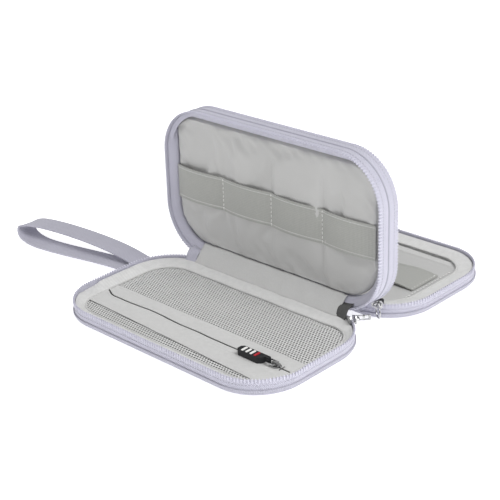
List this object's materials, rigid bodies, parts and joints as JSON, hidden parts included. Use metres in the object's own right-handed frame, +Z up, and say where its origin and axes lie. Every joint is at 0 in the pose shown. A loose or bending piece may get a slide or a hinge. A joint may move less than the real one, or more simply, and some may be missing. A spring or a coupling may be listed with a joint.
{
  "type": "cable organizer pouch",
  "caption": "Soft two-compartment cable pouch lying open: two zip-rimmed shells, a padded divider standing between them, mesh pocket, elastic band and wrist strap.",
  "frame": {"origin": "centre of the front shell's underside, on the surface that the open pouch lies on", "axes": "+X along the two hinges, away from the wrist strap; +Y from the front shell to the divider and the back shell; +Z up"},
  "size_m": [0.2952, 0.2148, 0.1093],
  "materials": {
    "cover_fabric": "smooth matt weave",
    "zip_tape": "herringbone weave",
    "zip_teeth": "nylon coil",
    "foam_board": "foam",
    "twill_lining": "ribbed twill",
    "smooth_lining": "smooth",
    "dark_lining": "smooth, under the mesh",
    "mesh": "open net",
    "pocket_zip_tape": "ribbed tape",
    "pocket_zip_coil": "nylon coil",
    "satin": "satin",
    "elastic": "ribbed elastic",
    "thread": "thread",
    "black_rubber": "matt",
    "white_rubber": "matt",
    "red_rubber": "matt",
    "metal": "satin plated"
  },
  "bodies": {
    "front_shell": {"front_shell_cover": "cover_fabric", "front_shell_board": "foam_board", "front_shell_lining": "dark_lining", "front_shell_side_band": "twill_lining", "front_shell_zip_tape": "zip_tape", "front_shell_zip_teeth": "zip_teeth", "front_shell_hinge_strip": "smooth_lining", "mesh_panel": "mesh", "mesh_front_strip": "mesh", "pocket_tape_rear": "pocket_zip_tape", "pocket_tape_front": "pocket_zip_tape", "pocket_coil_rear": "pocket_zip_coil", "pocket_coil_front": "pocket_zip_coil", "pocket_zip_stop_left": "metal", "pocket_zip_stop_right": "metal", "strap_root": "cover_fabric", "front_zip_end_stop": "metal"},
    "divider": {"divider_board": "foam_board", "divider_front_panel": "satin", "divider_back_panel": "satin", "divider_gusset_front": "cover_fabric", "divider_gusset_back": "cover_fabric", "divider_zip_tape_front": "zip_tape", "divider_zip_tape_back": "zip_tape", "divider_zip_teeth_front": "zip_teeth", "divider_zip_teeth_back": "zip_teeth", "divider_seam": "cover_fabric", "spine_panel": "cover_fabric", "divider_hinge_strip_front": "smooth_lining", "divider_hinge_strip_back": "smooth_lining", "elastic_band": "elastic", "elastic_stitches": "thread"},
    "back_shell": {"back_shell_cover": "cover_fabric", "back_shell_board": "foam_board", "back_shell_lining": "smooth_lining", "back_shell_side_band": "twill_lining", "back_shell_zip_tape": "zip_tape", "back_shell_zip_teeth": "zip_teeth", "back_shell_hinge_strip": "smooth_lining", "rear_slip_pocket": "smooth_lining", "satin_pocket": "satin", "back_elastic_band": "elastic", "back_elastic_stitches": "thread", "back_zip_end_stop": "metal"},
    "wrist_strap": {"wrist_strap": "cover_fabric"},
    "pocket_slider": {"pocket_slider": "metal"},
    "pocket_pull": {"pocket_pull_ring": "metal", "pocket_pull_tab": "black_rubber", "pocket_pull_ribs": "white_rubber", "pocket_pull_red_rib": "red_rubber"},
    "front_zip_slider": {"front_zip_slider": "metal"},
    "front_zip_pull": {"front_zip_pull": "metal"},
    "back_zip_slider": {"back_zip_slider": "metal"},
    "back_zip_pull": {"back_zip_pull": "metal"}
  },
  "joints": [
    {"name": "front_hinge", "type": "hinge", "parent": "front_shell", "child": "divider", "pos_m": [0, 0.049, 0.011], "axis": [1, 0, 0], "range_deg": [-45, 92]},
    {"name": "back_hinge", "type": "hinge", "parent": "divider", "child": "back_shell", "pos_m": [0, 0.06699, 0.01037], "axis": [1, 0, 0], "range_deg": [-45, 88]},
    {"name": "strap_swing", "type": "hinge", "parent": "front_shell", "child": "wrist_strap", "pos_m": [-0.0916, 0.023, 0.0073], "axis": [0, 1, 0], "range_deg": [0, 75]},
    {"name": "front_zip_travel", "type": "hinge", "parent": "front_shell", "child": "front_zip_slider", "pos_m": [0.058, 0.017, 0.011], "axis": [0, 0, 1], "range_deg": [-58, 0]},
    {"name": "front_pull_swing", "type": "hinge", "parent": "front_zip_slider", "child": "front_zip_pull", "pos_m": [0.07545, 0.04722, 0.011], "axis": [0, 0, 1], "range_deg": [-76, 18]},
    {"name": "back_zip_travel", "type": "hinge", "parent": "back_shell", "child": "back_zip_slider", "pos_m": [0.058, 0.09899, 0.01037], "axis": [0, 0, 1], "range_deg": [0, 58]},
    {"name": "back_pull_swing", "type": "hinge", "parent": "back_zip_slider", "child": "back_zip_pull", "pos_m": [0.07343, 0.06735, 0.01037], "axis": [0, 0, 1], "range_deg": [0, 60]},
    {"name": "pocket_zip_travel", "type": "slide", "parent": "front_shell", "child": "pocket_slider", "axis": [-1, 0, 0], "range_m": [0, 0.132]},
    {"name": "pocket_pull_flip", "type": "hinge", "parent": "pocket_slider", "child": "pocket_pull", "pos_m": [0.0726, -0.0185, 0.0083], "axis": [0, 1, 0], "range_deg": [0, 163]}
  ]
}
